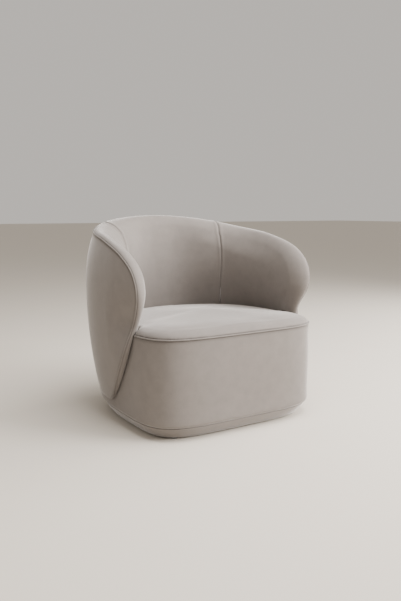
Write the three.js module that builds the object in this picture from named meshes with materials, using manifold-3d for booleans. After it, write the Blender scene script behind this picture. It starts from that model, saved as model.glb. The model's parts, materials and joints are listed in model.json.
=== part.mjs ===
// A barrel-backed cuddle chair: a squared upholstered base on a tapered plinth, and one padded back that wraps
// round it from arm to arm. Millimetres, +Z up, the front faces -Y, the origin is on the floor under the middle.
import * as THREE from "three";
import { mergeVertices } from "three/addons/utils/BufferGeometryUtils.js";
import Module from "manifold-3d";

const wasm = await Module();
wasm.setup();

// Driving dimensions of the plan. Every plan curve is a superellipse about one plan centre.
const PLAN_CENTRE_Y = -77;
const BASE_HALF_WIDTH = 376;
const BASE_FRONT_DEPTH = 315;
const BASE_REAR_DEPTH = 420;
const BASE_FRONT_SQUARENESS = 4.7;
const REAR_SQUARENESS = 2.7;
const ARM_SQUARENESS = 2.3;
const INNER_SQUARENESS = 2.3;
const WRAP_FRONT_DEPTH = 384;
const ARM_TAPER = 64;
const ARM_OVERHANG = 26;
const BACK_OVERHANG = 84;
const BACK_RAKE = 21;

// Driving heights
const GLIDE_HEIGHT = 6;
const PLINTH_HEIGHT = 43;
const WRAP_BOTTOM_Z = 84;
const DECK_Z = 366;
const BELLY_Z = 529;
const RIM_TOP_Z = 779;

// The side swell of the wrap, its lean at the rim and the pinch where the arms meet the seat
const WRAP_PROUD = 5;
const BELLY_SWELL = 44;
const BELLY_CURVE = 2.2;
const RIM_LEAN = 52;
const PINCH = 26;
const PINCH_Z = 418;
const PINCH_HEIGHT = 75;
const PINCH_RUN = 155;

// The rounded edge roll between the outer welt and the inner face
const EDGE_CROWN = 10;
const EDGE_FALL = 34;
const TIP_FALL = 16;
const EDGE_SPLIT_SHARE = 0.3;

// Layers, and the gaps between them: GAP where two pieces share one grid, CLEAR where they do not
const FABRIC = 2.5;
const GAP = 0.4;
const CLEAR = 2;
const SKIN = 3;
const BOARD = 18;
const BASE_PADDING = 12;
const RIM_FOAM = 24;
const INNER_FOAM_SHARE = 0.38;
const CORNER_FOAM_SHARE = 0.5;
const WEBBING = 2.2;
const WELT_RADIUS = 2;
const WELT_DEPTH = -0.2;
const SKIN_DEPTH = FABRIC + 2 * GAP;
const FRAME_DEPTH = SKIN_DEPTH + SKIN + 3 * CLEAR;

// Outline of the wrap, from the tip low on one side, up the slanted front edge, over the arm and along the rim
// to the middle of the back: plan angle in degrees, and height as a share of the wrap's height.
const OUTLINE_SHARES = [
  [4.6, 0.007], [2.2, 0.028], [-8.9, 0.196], [-16.3, 0.337], [-21, 0.47], [-26.1, 0.625],
  [-23.8, 0.73], [-14.1, 0.815], [6.5, 0.882], [33.6, 0.928], [62, 0.981], [90, 1],
];
const SEAM_RIM_ANGLE = 51.7;
const SEAM_FOOT_ANGLE = 44.5;
const TIP_FOOT_ANGLE = 9;
const ARM_FOOT_ANGLE = -6;

const degrees = (angle) => (angle * Math.PI) / 180;
const clamp01 = (value) => Math.min(1, Math.max(0, value));
const smooth = (value) => clamp01(value) ** 2 * (3 - 2 * clamp01(value));
const mix = (a, b, share) => a + (b - a) * share;
const range = (count) => Array.from({ length: count + 1 }, (_, i) => i / count);

// Radius of a superellipse seen from the plan centre, with its own depth and squareness before and behind.
function planRadius(theta, halfWidth, rearDepth, frontDepth, rearPower, frontPower) {
  const behind = Math.sin(theta) >= 0;
  const power = behind ? rearPower : frontPower;
  const depth = behind ? rearDepth : frontDepth;
  const across = Math.abs(Math.cos(theta) / halfWidth) ** power;
  return (across + Math.abs(Math.sin(theta) / depth) ** power) ** (-1 / power);
}

const baseRadius = (theta, inset = 0) =>
  planRadius(
    theta,
    BASE_HALF_WIDTH - inset,
    BASE_REAR_DEPTH - inset,
    BASE_FRONT_DEPTH - inset,
    REAR_SQUARENESS,
    BASE_FRONT_SQUARENESS,
  );

function swellAt(z) {
  const below = clamp01((BELLY_Z - z) / (BELLY_Z - WRAP_BOTTOM_Z));
  if (below > 0) return BELLY_SWELL * (1 - below ** BELLY_CURVE);
  return BELLY_SWELL - RIM_LEAN * ((z - BELLY_Z) / (RIM_TOP_Z - BELLY_Z)) ** 2;
}

// Outer surface of the wrap
function wrapRadius(theta, z) {
  const out = WRAP_PROUD + swellAt(z);
  const radius = planRadius(
    theta,
    BASE_HALF_WIDTH + out,
    BASE_REAR_DEPTH + out,
    WRAP_FRONT_DEPTH + out,
    REAR_SQUARENESS,
    ARM_SQUARENESS,
  );
  const forward = smooth((-radius * Math.sin(theta)) / PINCH_RUN);
  return radius - PINCH * forward * Math.exp(-(((z - PINCH_Z) / PINCH_HEIGHT) ** 2));
}

// Inner face of the arms and back, above the seat
function innerRadius(theta, z) {
  const rake = BACK_RAKE * ((z - DECK_Z) / (RIM_TOP_Z - DECK_Z));
  return planRadius(
    theta,
    BASE_HALF_WIDTH - ARM_OVERHANG,
    BASE_REAR_DEPTH - BACK_OVERHANG + rake,
    WRAP_FRONT_DEPTH + ARM_TAPER,
    INNER_SQUARENESS,
    ARM_SQUARENESS,
  );
}

const onPlan = (theta, radius, z) =>
  new THREE.Vector3(radius * Math.cos(theta), PLAN_CENTRE_Y + radius * Math.sin(theta), z);
const inWrap = (theta, z, depth) => onPlan(theta, wrapRadius(theta, z) - depth, z);

// The outline lies in the unrolled wrap: x is the plan angle times a mean radius, y the height.
const MEAN_RADIUS = BASE_HALF_WIDTH + WRAP_PROUD + BELLY_SWELL / 2;
const rightOutline = OUTLINE_SHARES.map(([angle, share]) => {
  return [degrees(angle), mix(WRAP_BOTTOM_Z, RIM_TOP_Z, share)];
});
const leftOutline = rightOutline.slice(0, -1).reverse().map(([theta, z]) => [Math.PI - theta, z]);
const outlineCurve = new THREE.CatmullRomCurve3(
  [...rightOutline, ...leftOutline].map(([theta, z]) => new THREE.Vector3(theta * MEAN_RADIUS, z, 0)),
  false,
  "centripetal",
);
outlineCurve.arcLengthDivisions = 1200;
const OUTLINE_LENGTH = outlineCurve.getLength();

// Shares between two ends of a curve, closer together where it bends. BEND_LENGTH counts as one radian.
const BEND_LENGTH = 300;
function spread(from, to, count, pointAt) {
  const fine = range(600).map((u) => mix(from, to, u));
  const points = fine.map(pointAt);
  const steps = points.slice(1).map((point, i) => point.clone().sub(points[i]));
  const costs = [0];
  steps.forEach((step, i) => {
    const bend = i ? step.angleTo(steps[i - 1]) : 0;
    costs.push(costs[i] + step.length() + bend * BEND_LENGTH);
  });
  return range(count).map((u) => {
    const target = u * costs[costs.length - 1];
    const i = Math.max(1, costs.findIndex((cost) => cost >= target - 1e-9));
    return mix(fine[i - 1], fine[i], (target - costs[i - 1]) / (costs[i] - costs[i - 1]));
  });
}

// A place on the unrolled wrap is a plan angle and a height. Share 0 of the outline is the right tip, 0.5 the
// middle of the rim and 1 the left tip. out is the direction past the outline.
function stationAt(share) {
  const mirrored = share > 0.5;
  const along = mirrored ? 1 - share : share;
  const point = outlineCurve.getPointAt(along);
  const tangent = outlineCurve.getTangentAt(along);
  const theta = point.x / MEAN_RADIUS;
  return {
    theta: mirrored ? Math.PI - theta : theta,
    z: point.y,
    out: [mirrored ? tangent.y : -tangent.y, tangent.x],
  };
}
const past = ({ theta, z, out }, rise) => {
  return { theta: theta + (rise * out[0]) / MEAN_RADIUS, z: z + rise * out[1] };
};
const between = (a, b, share) => ({ theta: mix(a.theta, b.theta, share), z: mix(a.z, b.z, share) });
const shareWhere = (test) => range(2000).map((u) => u / 2).find((share) => test(stationAt(share)));
const mirror = (shares) => [...shares].reverse().map((share) => 1 - share);
const SEAM_SHARE = shareWhere(({ theta, z }) => z > BELLY_Z && theta > degrees(SEAM_RIM_ANGLE));

// Angle at the foot of the wrap under a station, so that the seam's foot lies at its own angle.
function footAngle(share, endAngle, startShare) {
  const mirrored = share > 0.5;
  const along = mirrored ? 1 - share : share;
  const arm = clamp01((along - startShare) / (SEAM_SHARE - startShare));
  const rear = clamp01((along - SEAM_SHARE) / (0.5 - SEAM_SHARE));
  const angle = degrees(mix(mix(endAngle, SEAM_FOOT_ANGLE, arm), 90, rear));
  return mirrored ? Math.PI - angle : angle;
}

// The rolled edge of the wrap: from the outer welt over a crown and down onto the inner surface, which is the
// inner face above the seat and the side of the base below it.
const ROLL_START = 14;
const ROLL_RISE = 30;
const TIP_CROWN = 3.5;
const TIP_DEPTH = 10;
const WELT_ROOM = WELT_RADIUS + GAP;
const TUCK = 25;
const SOLE_TUCK_SHARE = 0.6;
const TUCK_TURN = 130;
const TUCK_DROP = 32;
const SOLE_Z = DECK_Z + GAP + BOARD + GAP;
const PUFF = 7;
const SEAM_DIP = 3;
const SEAM_BOW = 58;
const SEAM_REACH = 220;
const EDGE_SHARE = 0.22;
const EDGE_STEPS = 3;
const FACE_STEPS = 3;

const aboveSeat = (z) => smooth((z - DECK_Z - ROLL_START) / ROLL_RISE);
const innerSurface = (theta, z, above) => mix(baseRadius(theta) + CLEAR, innerRadius(theta, z), above);
const ROLL_SHARES = [0, ROLL_RISE].map((rise) => shareWhere(({ z }) => z > DECK_Z + ROLL_START + rise));

// The share that a row of the inner cover follows. Between rim and seat the seams bow towards the arm fronts.
function bowedShare(share, down) {
  const mirrored = share > 0.5;
  const along = mirrored ? 1 - share : share;
  const near = smooth(1 - (Math.abs(along - SEAM_SHARE) * OUTLINE_LENGTH) / SEAM_REACH);
  const moved = along - (near * SEAM_BOW * Math.sin(Math.PI * down)) / OUTLINE_LENGTH;
  return mirrored ? 1 - moved : moved;
}
// How far down the inner cover each row lies: the rows of the edge, those of the face and the foot
const ROW_SHARES = [
  ...range(2 * EDGE_STEPS).map((u) => u * EDGE_SHARE),
  ...range(FACE_STEPS).slice(1).map((u) => mix(EDGE_SHARE, 1, u)),
  1,
];

function rollAt(share) {
  const station = stationAt(share);
  const above = aboveSeat(station.z);
  // The roll is narrow at the tip and grows to its full width as it nears the seat.
  const grown = clamp01(1 - (DECK_Z + ROLL_START - station.z) / TUCK_TURN);
  const drop = mix(TIP_FALL, EDGE_FALL, grown);
  const fall = past(station, -drop);
  const depth = wrapRadius(fall.theta, fall.z) - innerSurface(fall.theta, fall.z, above);
  const full = wrapRadius(station.theta, station.z) - innerRadius(station.theta, station.z);
  const crownDepth = Math.min(EDGE_SPLIT_SHARE * full, depth / 2);
  const footTheta = footAngle(share, ARM_FOOT_ANGLE, ROLL_SHARES[1]);
  // Below the seat the hem lies against the side of the base and turns down as it nears the seat.
  const low = past(station, -(drop + TUCK));
  const hem = { theta: low.theta, z: low.z - TUCK_DROP * grown };
  return {
    station,
    above,
    drop,
    fall,
    depth,
    crownDepth,
    crown: mix(TIP_CROWN, EDGE_CROWN, clamp01((depth - TIP_DEPTH) / TIP_DEPTH)),
    sole: between(between(fall, hem, SOLE_TUCK_SHARE), { theta: footTheta, z: SOLE_Z }, above),
    foot: between(hem, { theta: footTheta, z: DECK_Z + GAP }, above),
  };
}

// How far the inner face is pushed in by a soft panel between the seams, less the dip along each seam.
function softness(share, down) {
  const along = Math.min(share, 1 - share);
  const onArm = clamp01((along - ROLL_SHARES[1]) / (SEAM_SHARE - ROLL_SHARES[1]));
  const onBack = (share - SEAM_SHARE) / (1 - 2 * SEAM_SHARE);
  const puff = Math.sin(Math.PI * (along < SEAM_SHARE ? onArm : onBack));
  const dip = Math.abs(along - SEAM_SHARE) * OUTLINE_LENGTH < SEAM_DIP ? SEAM_DIP : 0;
  return (PUFF * puff - dip) * Math.sin(Math.PI * down);
}

// Points over the rolled edge and down the inner face, each moved in by inset. The panel's softness follows
// its own share, the rest the row's.
function rollPath(share, inset, toFoot) {
  const rows = toFoot ? ROW_SHARES : ROW_SHARES.slice(0, -1);
  return rows.map((down, k) => rollRows(bowedShare(share, down), inset, share)[k]);
}
function rollRows(share, inset, panelShare) {
  const { station, above, drop, fall, depth, crownDepth, crown, sole, foot } = rollAt(share);
  const start = Math.asin(WELT_ROOM / crown);
  const edge = [
    ...range(EDGE_STEPS).map((u) => {
      const turn = mix(start, Math.PI / 2, u);
      return [crownDepth - (crownDepth - inset) * Math.cos(turn), (crown - inset) * Math.sin(turn)];
    }),
    ...range(EDGE_STEPS).slice(1).map((u) => {
      const turn = (u * Math.PI) / 2;
      const rise = (crown + drop - inset) * Math.cos(turn) - drop;
      return [crownDepth + (depth - crownDepth - inset) * Math.sin(turn), rise];
    }),
  ].map(([deep, rise]) => {
    const { theta, z } = past(station, rise);
    const thinner = depth - wrapRadius(theta, z) + innerSurface(theta, z, above);
    return inWrap(theta, z, deep - thinner * (deep / depth) ** 2);
  });
  const face = range(FACE_STEPS).slice(1).map((u) => {
    const place = between(fall, sole, u);
    const push = above * softness(panelShare, u);
    return onPlan(place.theta, innerSurface(place.theta, place.z, above) + inset - push, place.z);
  });
  return [...edge, ...face, onPlan(foot.theta, innerSurface(foot.theta, foot.z, above) + inset, foot.z)];
}

// The back of the foam: level with the bottom of the edge roll, then down its own share of the wrap's depth.
function foamBack(share) {
  return ROW_SHARES.slice(0, -1).map((down, k) => foamRows(bowedShare(share, down))[k]);
}
function foamRows(share) {
  const { station, above, depth, sole } = rollAt(share);
  const shelf = past(station, -RIM_FOAM);
  const start = SKIN_DEPTH;
  const end = depth * (1 - foamShare(above));
  const edgeCount = 2 * EDGE_STEPS;
  const edge = range(edgeCount).map((u) => inWrap(shelf.theta, shelf.z, mix(start, end, u)));
  const face = range(FACE_STEPS).slice(1).map((u) => {
    const place = between(shelf, sole, u);
    return onPlan(place.theta, foamLine(place, above), place.z);
  });
  return [...edge, ...face];
}
const foamShare = (above) => mix(CORNER_FOAM_SHARE, INNER_FOAM_SHARE, above);
function foamLine({ theta, z }, above) {
  const inner = innerSurface(theta, z, above);
  return inner + foamShare(above) * (wrapRadius(theta, z) - inner);
}

// Closed solid from a row of sections. A section has a front and a back line with as many points each, and both
// lines are split along the same diagonals, so that nested layers follow each other. The diagonals turn round in
// the mirrored half.
function solidOf(sections, closed = false) {
  const count = sections[0].front.length;
  const ring = 2 * count;
  const last = sections.length - 1;
  const positions = sections.flatMap(({ front, back }) =>
    [...front, ...[...back].reverse()].flatMap((point) => point.toArray()),
  );
  const index = [];
  for (let i = 0; i <= last; i++) {
    if (i === last && !closed) break;
    const here = i * ring;
    const next = ((i + 1) % sections.length) * ring;
    const mirrored = Boolean(sections[i].mirrored);
    for (let k = 0; k < ring; k++) {
      const after = (k + 1) % ring;
      const [a, b, c, d] = [here + k, next + k, next + after, here + after];
      index.push(...(k < count !== mirrored ? [a, b, c, a, c, d] : [b, c, d, b, d, a]));
    }
  }
  if (!closed) {
    for (let k = 0; k < count - 1; k++) {
      const [a, b, c, d] = [k, k + 1, ring - 2 - k, ring - 1 - k];
      index.push(a, b, c, a, c, d);
      const end = last * ring;
      index.push(end + a, end + c, end + b, end + a, end + d, end + c);
    }
  }
  return facingOut(welded(positions, index));
}

// Joins points that meet and drops the triangles that closes.
function welded(positions, index) {
  const rough = new THREE.BufferGeometry();
  rough.setAttribute("position", new THREE.Float32BufferAttribute(positions, 3));
  rough.setIndex(index);
  const merged = mergeVertices(rough, 1e-3);
  const kept = [];
  for (let i = 0; i < merged.index.count; i += 3) {
    const [a, b, c] = [0, 1, 2].map((k) => merged.index.getX(i + k));
    if (a !== b && b !== c && c !== a) kept.push(a, b, c);
  }
  merged.setIndex(kept);
  return merged;
}

// Turns the faces of a closed mesh outward.
function facingOut(geometry) {
  const corners = (i) => [0, 1, 2].map((k) => new THREE.Vector3().fromBufferAttribute(at, index[i + k]));
  const at = geometry.attributes.position;
  const index = Array.from(geometry.index.array);
  let volume = 0;
  for (let i = 0; i < index.length; i += 3) {
    const [a, b, c] = corners(i);
    volume += a.dot(b.cross(c));
  }
  if (volume < 0) {
    for (let i = 0; i < index.length; i += 3) [index[i], index[i + 1]] = [index[i + 1], index[i]];
    geometry.setIndex(index);
  }
  return geometry;
}

// Booleans
function toManifold(geometry) {
  const bare = new THREE.BufferGeometry();
  bare.setAttribute("position", geometry.attributes.position);
  bare.setIndex(geometry.index);
  const merged = mergeVertices(bare, 1e-4);
  return new wasm.Manifold(
    new wasm.Mesh({
      numProp: 3,
      vertProperties: new Float32Array(merged.attributes.position.array),
      triVerts: new Uint32Array(merged.index.array),
    }),
  );
}
function drilled(geometry, tools) {
  const solid = tools.reduce((body, tool) => body.subtract(toManifold(tool)), toManifold(geometry));
  const { vertProperties, triVerts } = solid.getMesh();
  const result = new THREE.BufferGeometry();
  result.setAttribute("position", new THREE.BufferAttribute(new Float32Array(vertProperties), 3));
  result.setIndex(new THREE.BufferAttribute(new Uint32Array(triVerts), 1));
  return result;
}

const moved = (geometry, point) => geometry.translate(point.x, point.y, point.z);
const boxAt = (x0, x1, y0, y1, z0, z1) =>
  moved(
    new THREE.BoxGeometry(x1 - x0, y1 - y0, z1 - z0),
    new THREE.Vector3((x0 + x1) / 2, (y0 + y1) / 2, (z0 + z1) / 2),
  );
// Turned body from [radius, height] pairs, standing on its first point.
function turned(profile, sides) {
  const lathe = new THREE.LatheGeometry(
    profile.map(([radius, height]) => new THREE.Vector2(radius, height)),
    sides,
  );
  return lathe.rotateX(Math.PI / 2);
}

// Six-sided wire or welt along a row of points. upAt gives the direction that stands up at each of them.
function wireAlong(points, radius, upAt) {
  return solidOf(
    points.map((point, i) => {
      const ahead = points[Math.min(i + 1, points.length - 1)];
      const tangent = ahead.clone().sub(points[Math.max(i - 1, 0)]).normalize();
      const side = new THREE.Vector3().crossVectors(upAt(point), tangent).normalize();
      const up = new THREE.Vector3().crossVectors(tangent, side);
      const spoke = (angle) =>
        point
          .clone()
          .addScaledVector(side, radius * Math.cos(angle))
          .addScaledVector(up, radius * Math.sin(angle));
      const turns = [5, 3, 1].map((sixth) => (sixth * Math.PI) / 6);
      return { front: turns.map(spoke), back: turns.map((turn) => spoke(-turn)) };
    }),
  );
}

// Materials
const material = (color, roughness, metalness = 0) =>
  new THREE.MeshStandardMaterial({ color, roughness, metalness });
const looks = {
  velvet: () => material(0xb3aca6, 0.85),
  foam: () => material(0xe9e0b8, 0.95),
  plywood: () => material(0xc9a878, 0.7),
  timber: () => material(0xd9b98a, 0.65),
  fibreboard: () => material(0x8f7350, 0.8),
  webbing: () => material(0x4a4a48, 0.9),
  steel: () => material(0x9a9c9f, 0.35, 1),
  plastic: () => material(0x1c1c1c, 0.5),
  cambric: () => material(0x232323, 0.95),
  felt: () => material(0x8b8b86, 0.95),
};

const chair = new THREE.Group();
function add(name, geometry, look) {
  const mesh = new THREE.Mesh(geometry, looks[look]());
  mesh.name = name;
  chair.add(mesh);
}
const SIDES = [["right", 1], ["left", -1]];
const sided = (theta, sign) => (sign > 0 ? theta : Math.PI - theta);

// Rings round the whole base. Each row of a profile is [outer inset, inner inset, outer height, inner height].
const RING_STEPS = 48;
function ringAround(radiusAt) {
  const half = spread(-Math.PI / 2, Math.PI / 2, RING_STEPS / 2, (theta) => onPlan(theta, radiusAt(theta), 0));
  return [...half, ...half.slice(1, -1).reverse().map((theta) => Math.PI - theta)];
}
const ringAngles = ringAround((theta) => baseRadius(theta));
function ringOf(profile) {
  return solidOf(
    ringAngles.map((theta) => ({
      front: profile.map(([outer, , z]) => onPlan(theta, baseRadius(theta, outer), z)),
      back: profile.map(([, inner, z, innerZ = z]) => onPlan(theta, baseRadius(theta, inner), innerZ)),
    })),
    true,
  );
}
// Solid plate with the base's outline
function plateOf(inset, z0, z1) {
  return solidOf(
    ringAngles.map((theta) => ({
      front: [onPlan(0, 0, z1), onPlan(theta, baseRadius(theta, inset), z1)],
      back: [onPlan(0, 0, z0), onPlan(theta, baseRadius(theta, inset), z0)],
    })),
    true,
  );
}

// Plinth: a tapered frame with its own cover, on four glides
const PLINTH_TOP_Z = GLIDE_HEIGHT + PLINTH_HEIGHT;
const PLINTH_SETBACK = 8;
const PLINTH_TAPER = 30;
const PLINTH_WALL = 22;
const PLINTH_HEM = 30;
const GLIDE_RADIUS = 15;
const GLIDE_SIDES = 12;
const GLIDE_ANGLES = [-41, 50];
const plinthInset = (z) => PLINTH_SETBACK + (PLINTH_TAPER * (PLINTH_TOP_Z - z)) / PLINTH_HEIGHT;

function addPlinth() {
  const [top, low, floor] = [PLINTH_TOP_Z, GLIDE_HEIGHT + FABRIC, GLIDE_HEIGHT].map(plinthInset);
  add(
    "plinth_cover",
    ringOf([
      [top, top + FABRIC, PLINTH_TOP_Z],
      [floor, low + FABRIC, GLIDE_HEIGHT, GLIDE_HEIGHT + FABRIC],
      [floor + PLINTH_HEM, floor + PLINTH_HEM, GLIDE_HEIGHT, GLIDE_HEIGHT + FABRIC],
    ]),
    "velvet",
  );
  const bottom = GLIDE_HEIGHT + FABRIC + GAP;
  const outer = (z) => plinthInset(z) + FABRIC + 2 * GAP;
  add(
    "plinth_frame",
    ringOf([
      [outer(PLINTH_TOP_Z), outer(PLINTH_TOP_Z) + PLINTH_WALL, PLINTH_TOP_Z],
      [outer(bottom) + FABRIC, outer(bottom) + FABRIC + PLINTH_WALL, bottom],
    ]),
    "plywood",
  );
  const glideTop = GLIDE_HEIGHT - GAP / 2;
  GLIDE_ANGLES.forEach((angle) =>
    SIDES.forEach(([side, sign]) => {
      const theta = sided(degrees(angle), sign);
      const spot = onPlan(theta, baseRadius(theta, floor + FABRIC + GLIDE_RADIUS), 0);
      const profile = [[0, 0], [GLIDE_RADIUS, 0], [GLIDE_RADIUS, glideTop], [0, glideTop]];
      add(`glide_${angle < 0 ? "front" : "rear"}_${side}`, moved(turned(profile, GLIDE_SIDES), spot), "plastic");
    }),
  );
}

// Base: two board rings joined by a bent side board and four posts, padded and covered
const BASE_BOTTOM_Z = PLINTH_TOP_Z + GAP;
const BASE_FRAME_Z = BASE_BOTTOM_Z + FABRIC + GAP;
const BASE_TOP_Z = DECK_Z - FABRIC - GAP;
const BASE_HEM = 24;
const FOLD = 5;
const FOLD_HEIGHT = 58;
const SIDE_BOARD = 6;
const DECK_RING_WIDTH = 92;
const BOTTOM_RING_WIDTH = 60;
const CORE_FIT = 3;
const FRAME_INSET = FABRIC + GAP;
const BOARD_INSET = FRAME_INSET + BASE_PADDING + GAP;
const RING_INSET = BOARD_INSET + SIDE_BOARD + GAP;
const CORE_INSET = FRAME_INSET + DECK_RING_WIDTH + CORE_FIT;
const DUST_CLOTH = 1;
const POST = 45;
const POST_ANGLES = [-40, 43];
const RAIL = 22;
const RAIL_BOTTOM_Z = 205;
const RAIL_TOP_Z = 285;
const BOLT_RADIUS = 4;
const BOLT_HEAD_RADIUS = 7.5;
const BOLT_HEAD = 6;
const BOLT_CLEARANCE = 0.5;
const BOLT_SIDES = 10;
const BOLT_ANGLES = [4, 62];
const BOLT_SETBACK = 14;

// Posts stand midway between the side board and the seat core.
const [frontPost, rearPost] = POST_ANGLES.map(degrees).map((theta) => {
  return onPlan(theta, baseRadius(theta, (CORE_INSET + RING_INSET) / 2), 0);
});
const POST_X = Math.min(frontPost.x, rearPost.x) + POST / 2;
const POST_FRONT_Y = frontPost.y - POST / 2;
const POST_REAR_Y = rearPost.y + POST / 2;

const boltSpots = BOLT_ANGLES.flatMap((angle) =>
  SIDES.map(([side, sign]) => {
    const theta = sided(degrees(angle), sign);
    const name = `frame_bolt_${angle > BOLT_ANGLES[0] ? "rear" : "side"}_${side}`;
    return { name, spot: onPlan(theta, innerRadius(theta, DECK_Z) + BOLT_SETBACK, 0) };
  }),
);
// Countersunk bolt, or with grow the hole it sits in
function boltShape(spot, grow) {
  const low = BASE_TOP_Z - BOARD + GAP - grow * BOARD;
  const high = DECK_Z + BOARD - GAP + grow * BOARD;
  const neck = DECK_Z + GAP + BOARD - BOLT_HEAD - grow;
  const rim = DECK_Z + BOARD - GAP - grow;
  const [shaft, head] = [BOLT_RADIUS + grow, BOLT_HEAD_RADIUS + grow];
  const profile = [[0, low], [shaft, low], [shaft, neck], [head, rim], [head, high + GAP], [0, high + GAP]];
  return moved(turned(profile, BOLT_SIDES), spot);
}
const boltHoles = () => boltSpots.map(({ spot }) => boltShape(spot, BOLT_CLEARANCE));

function addBase() {
  const deckBottom = BASE_TOP_Z - BOARD;
  const cover = ringOf([
    [BASE_HEM, BASE_HEM, DECK_Z, BASE_TOP_Z + GAP],
    [0, FABRIC, DECK_Z, BASE_TOP_Z + GAP],
    [0, FABRIC, FOLD_HEIGHT + BASE_BOTTOM_Z],
    [FOLD, FABRIC + FOLD, BASE_BOTTOM_Z, BASE_BOTTOM_Z + FABRIC],
    [BASE_HEM, BASE_HEM, BASE_BOTTOM_Z, BASE_BOTTOM_Z + FABRIC],
  ]);
  add("base_cover", drilled(cover, boltHoles()), "velvet");
  add(
    "base_padding",
    ringOf([
      [FRAME_INSET, BOARD_INSET - GAP, deckBottom - GAP],
      [FRAME_INSET, BOARD_INSET - GAP, FOLD_HEIGHT + BASE_BOTTOM_Z],
      [FRAME_INSET + FOLD, BOARD_INSET - GAP, BASE_FRAME_Z],
    ]),
    "foam",
  );
  add(
    "base_side_board",
    ringOf([
      [BOARD_INSET, BOARD_INSET + SIDE_BOARD, deckBottom - GAP],
      [BOARD_INSET, BOARD_INSET + SIDE_BOARD, BASE_FRAME_Z],
    ]),
    "fibreboard",
  );
  const deckRing = ringOf([
    [FRAME_INSET, FRAME_INSET + DECK_RING_WIDTH, BASE_TOP_Z],
    [FRAME_INSET, FRAME_INSET + DECK_RING_WIDTH, deckBottom],
  ]);
  add("deck_ring", drilled(deckRing, boltHoles()), "plywood");
  add(
    "bottom_ring",
    ringOf([
      [RING_INSET, RING_INSET + BOTTOM_RING_WIDTH, BASE_FRAME_Z + BOARD],
      [RING_INSET, RING_INSET + BOTTOM_RING_WIDTH, BASE_FRAME_Z],
    ]),
    "plywood",
  );
  const post = [BASE_FRAME_Z + BOARD + GAP, deckBottom - GAP];
  const rail = [RAIL_BOTTOM_Z, RAIL_TOP_Z];
  SIDES.forEach(([side, sign]) => {
    const across = (near, far) => [sign * near, sign * far].sort((a, b) => a - b);
    const postX = across(POST_X - POST, POST_X);
    add(`base_post_front_${side}`, boxAt(...postX, POST_FRONT_Y, POST_FRONT_Y + POST, ...post), "timber");
    add(`base_post_rear_${side}`, boxAt(...postX, POST_REAR_Y - POST, POST_REAR_Y, ...post), "timber");
    const railX = across(POST_X - RAIL, POST_X);
    const railY = [POST_FRONT_Y + POST + GAP, POST_REAR_Y - POST - GAP];
    add(`seat_rail_${side}`, boxAt(...railX, ...railY, ...rail), "timber");
  });
  const half = POST_X - POST - GAP;
  add("seat_rail_front", boxAt(-half, half, POST_FRONT_Y, POST_FRONT_Y + RAIL, ...rail), "timber");
  add("seat_rail_rear", boxAt(-half, half, POST_REAR_Y - RAIL, POST_REAR_Y, ...rail), "timber");
  const dustTop = BASE_FRAME_Z - GAP;
  add("dust_cover", plateOf(BASE_HEM + FABRIC + GAP, dustTop - DUST_CLOTH, dustTop), "cambric");
}

// Springs: zigzag wires arched between two clip strips on the front and rear seat rails
const SPRING_COUNT = 4;
const SPRING_WIRE = 2;
const SPRING_SWING = 21;
const SPRING_PERIODS = 7;
const SPRING_PERIOD_STEPS = 5;
const SPRING_ARCH = 12;
const SPRING_PITCH = 112;
const CLIP_PLATE = 2;
const PAD = 4;

function addSprings() {
  const plateTop = RAIL_TOP_Z + GAP + CLIP_PLATE;
  const half = POST_X - POST - 2 * GAP;
  const rows = [["front", POST_FRONT_Y], ["rear", POST_REAR_Y - RAIL]];
  rows.forEach(([name, y]) =>
    add(`spring_clip_${name}`, boxAt(-half, half, y, y + RAIL, RAIL_TOP_Z + GAP, plateTop), "steel"),
  );
  const z = plateTop + GAP + SPRING_WIRE;
  const from = POST_FRONT_Y + RAIL / 2;
  const to = POST_REAR_Y - RAIL / 2;
  for (let i = 0; i < SPRING_COUNT; i++) {
    const x = (i - (SPRING_COUNT - 1) / 2) * SPRING_PITCH;
    const points = range(SPRING_PERIODS * SPRING_PERIOD_STEPS).map((u) => {
      const swing = Math.sin(2 * Math.PI * SPRING_PERIODS * u);
      const run = u + Math.sin(4 * Math.PI * SPRING_PERIODS * u) / (8 * Math.PI * SPRING_PERIODS);
      const arch = 4 * u * (1 - u);
      return new THREE.Vector3(x + SPRING_SWING * swing, mix(from, to, run), z + SPRING_ARCH * arch);
    });
    add(`seat_spring_${i + 1}`, wireAlong(points, SPRING_WIRE, () => new THREE.Vector3(0, 0, 1)), "steel");
  }
}

// Seat: a core in the well of the deck ring and a crowned pad over it, both under one cover
const SEAT_CENTRE_Z = 411;
const SEAT_FRONT_Z = 397;
const SEAT_REAR_Z = 391;
const SEAT_FRONT_ROUND = 50;
const SEAT_REAR_ROUND = 16;
const SEAT_LIP = 6;
const SEAT_TUCK = 5;
const SEAT_WELT_RISE = 2.5;
const SEAT_WELT_END_Y = -212;
const SEAT_TURN_FRONT_Y = -184;
const SEAT_TURN_REAR_Y = -118;
const SEAT_CALM_POWER = 3;
const SEAT_CROWN_POWER = 2.2;
const SEAT_SHARES = [0.45, 0.8, 1];
const SEAT_ROUND_STEPS = 3;
const SEAT_FIT = 2.6;

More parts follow.
